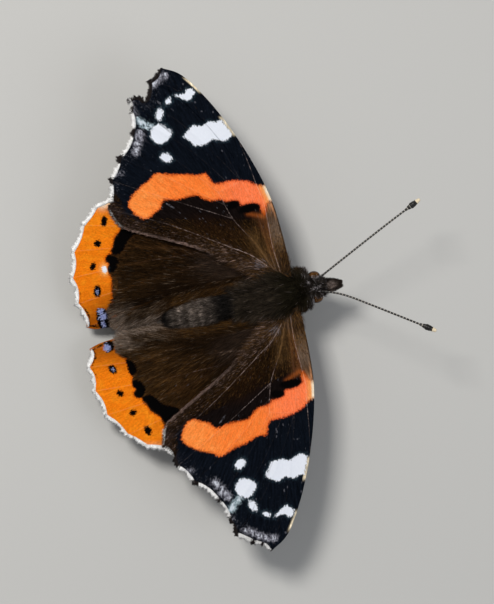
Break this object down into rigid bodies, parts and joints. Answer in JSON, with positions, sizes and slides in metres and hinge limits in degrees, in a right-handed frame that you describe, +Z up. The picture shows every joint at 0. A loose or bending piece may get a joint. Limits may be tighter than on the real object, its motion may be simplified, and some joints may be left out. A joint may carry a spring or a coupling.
{
  "type": "red admiral butterfly",
  "caption": "Life-size still model of a basking red admiral butterfly, standing with its scalloped wings spread flat and its clubbed feelers held out in front.",
  "frame": {"origin": "on the floor, under the middle of the whole model", "axes": "+X forward, where the head points; +Y to the butterfly's left, along the wing span; +Z up"},
  "size_m": [0.0478, 0.0665, 0.0127],
  "materials": {
    "body_fur": "long soft hair, greenish black to dark brown",
    "abdomen_fur": "short grey-brown hair in faint rings",
    "eye": "faceted, glossy red-brown",
    "feeler": "black with fine pale rings and a cream tip",
    "fore_wing": "velvety scales: black with an orange-red band and white spots",
    "hind_wing": "velvety scales: dark brown with an orange margin and black dots",
    "leg": "pale brown, finely haired"
  },
  "bodies": {
    "root": {"head": "body_fur", "eye_left": "eye", "eye_right": "eye", "palp_left": "body_fur", "palp_right": "body_fur", "proboscis": "feeler", "antenna_left": "feeler", "antenna_right": "feeler", "thorax": "body_fur", "abdomen": "abdomen_fur", "forewing_left": "fore_wing", "forewing_right": "fore_wing", "hindwing_left": "hind_wing", "hindwing_right": "hind_wing", "foreleg_left": "leg", "foreleg_right": "leg", "midleg_left": "leg", "midleg_right": "leg", "hindleg_left": "leg", "hindleg_right": "leg"}
  },
  "joints": []
}
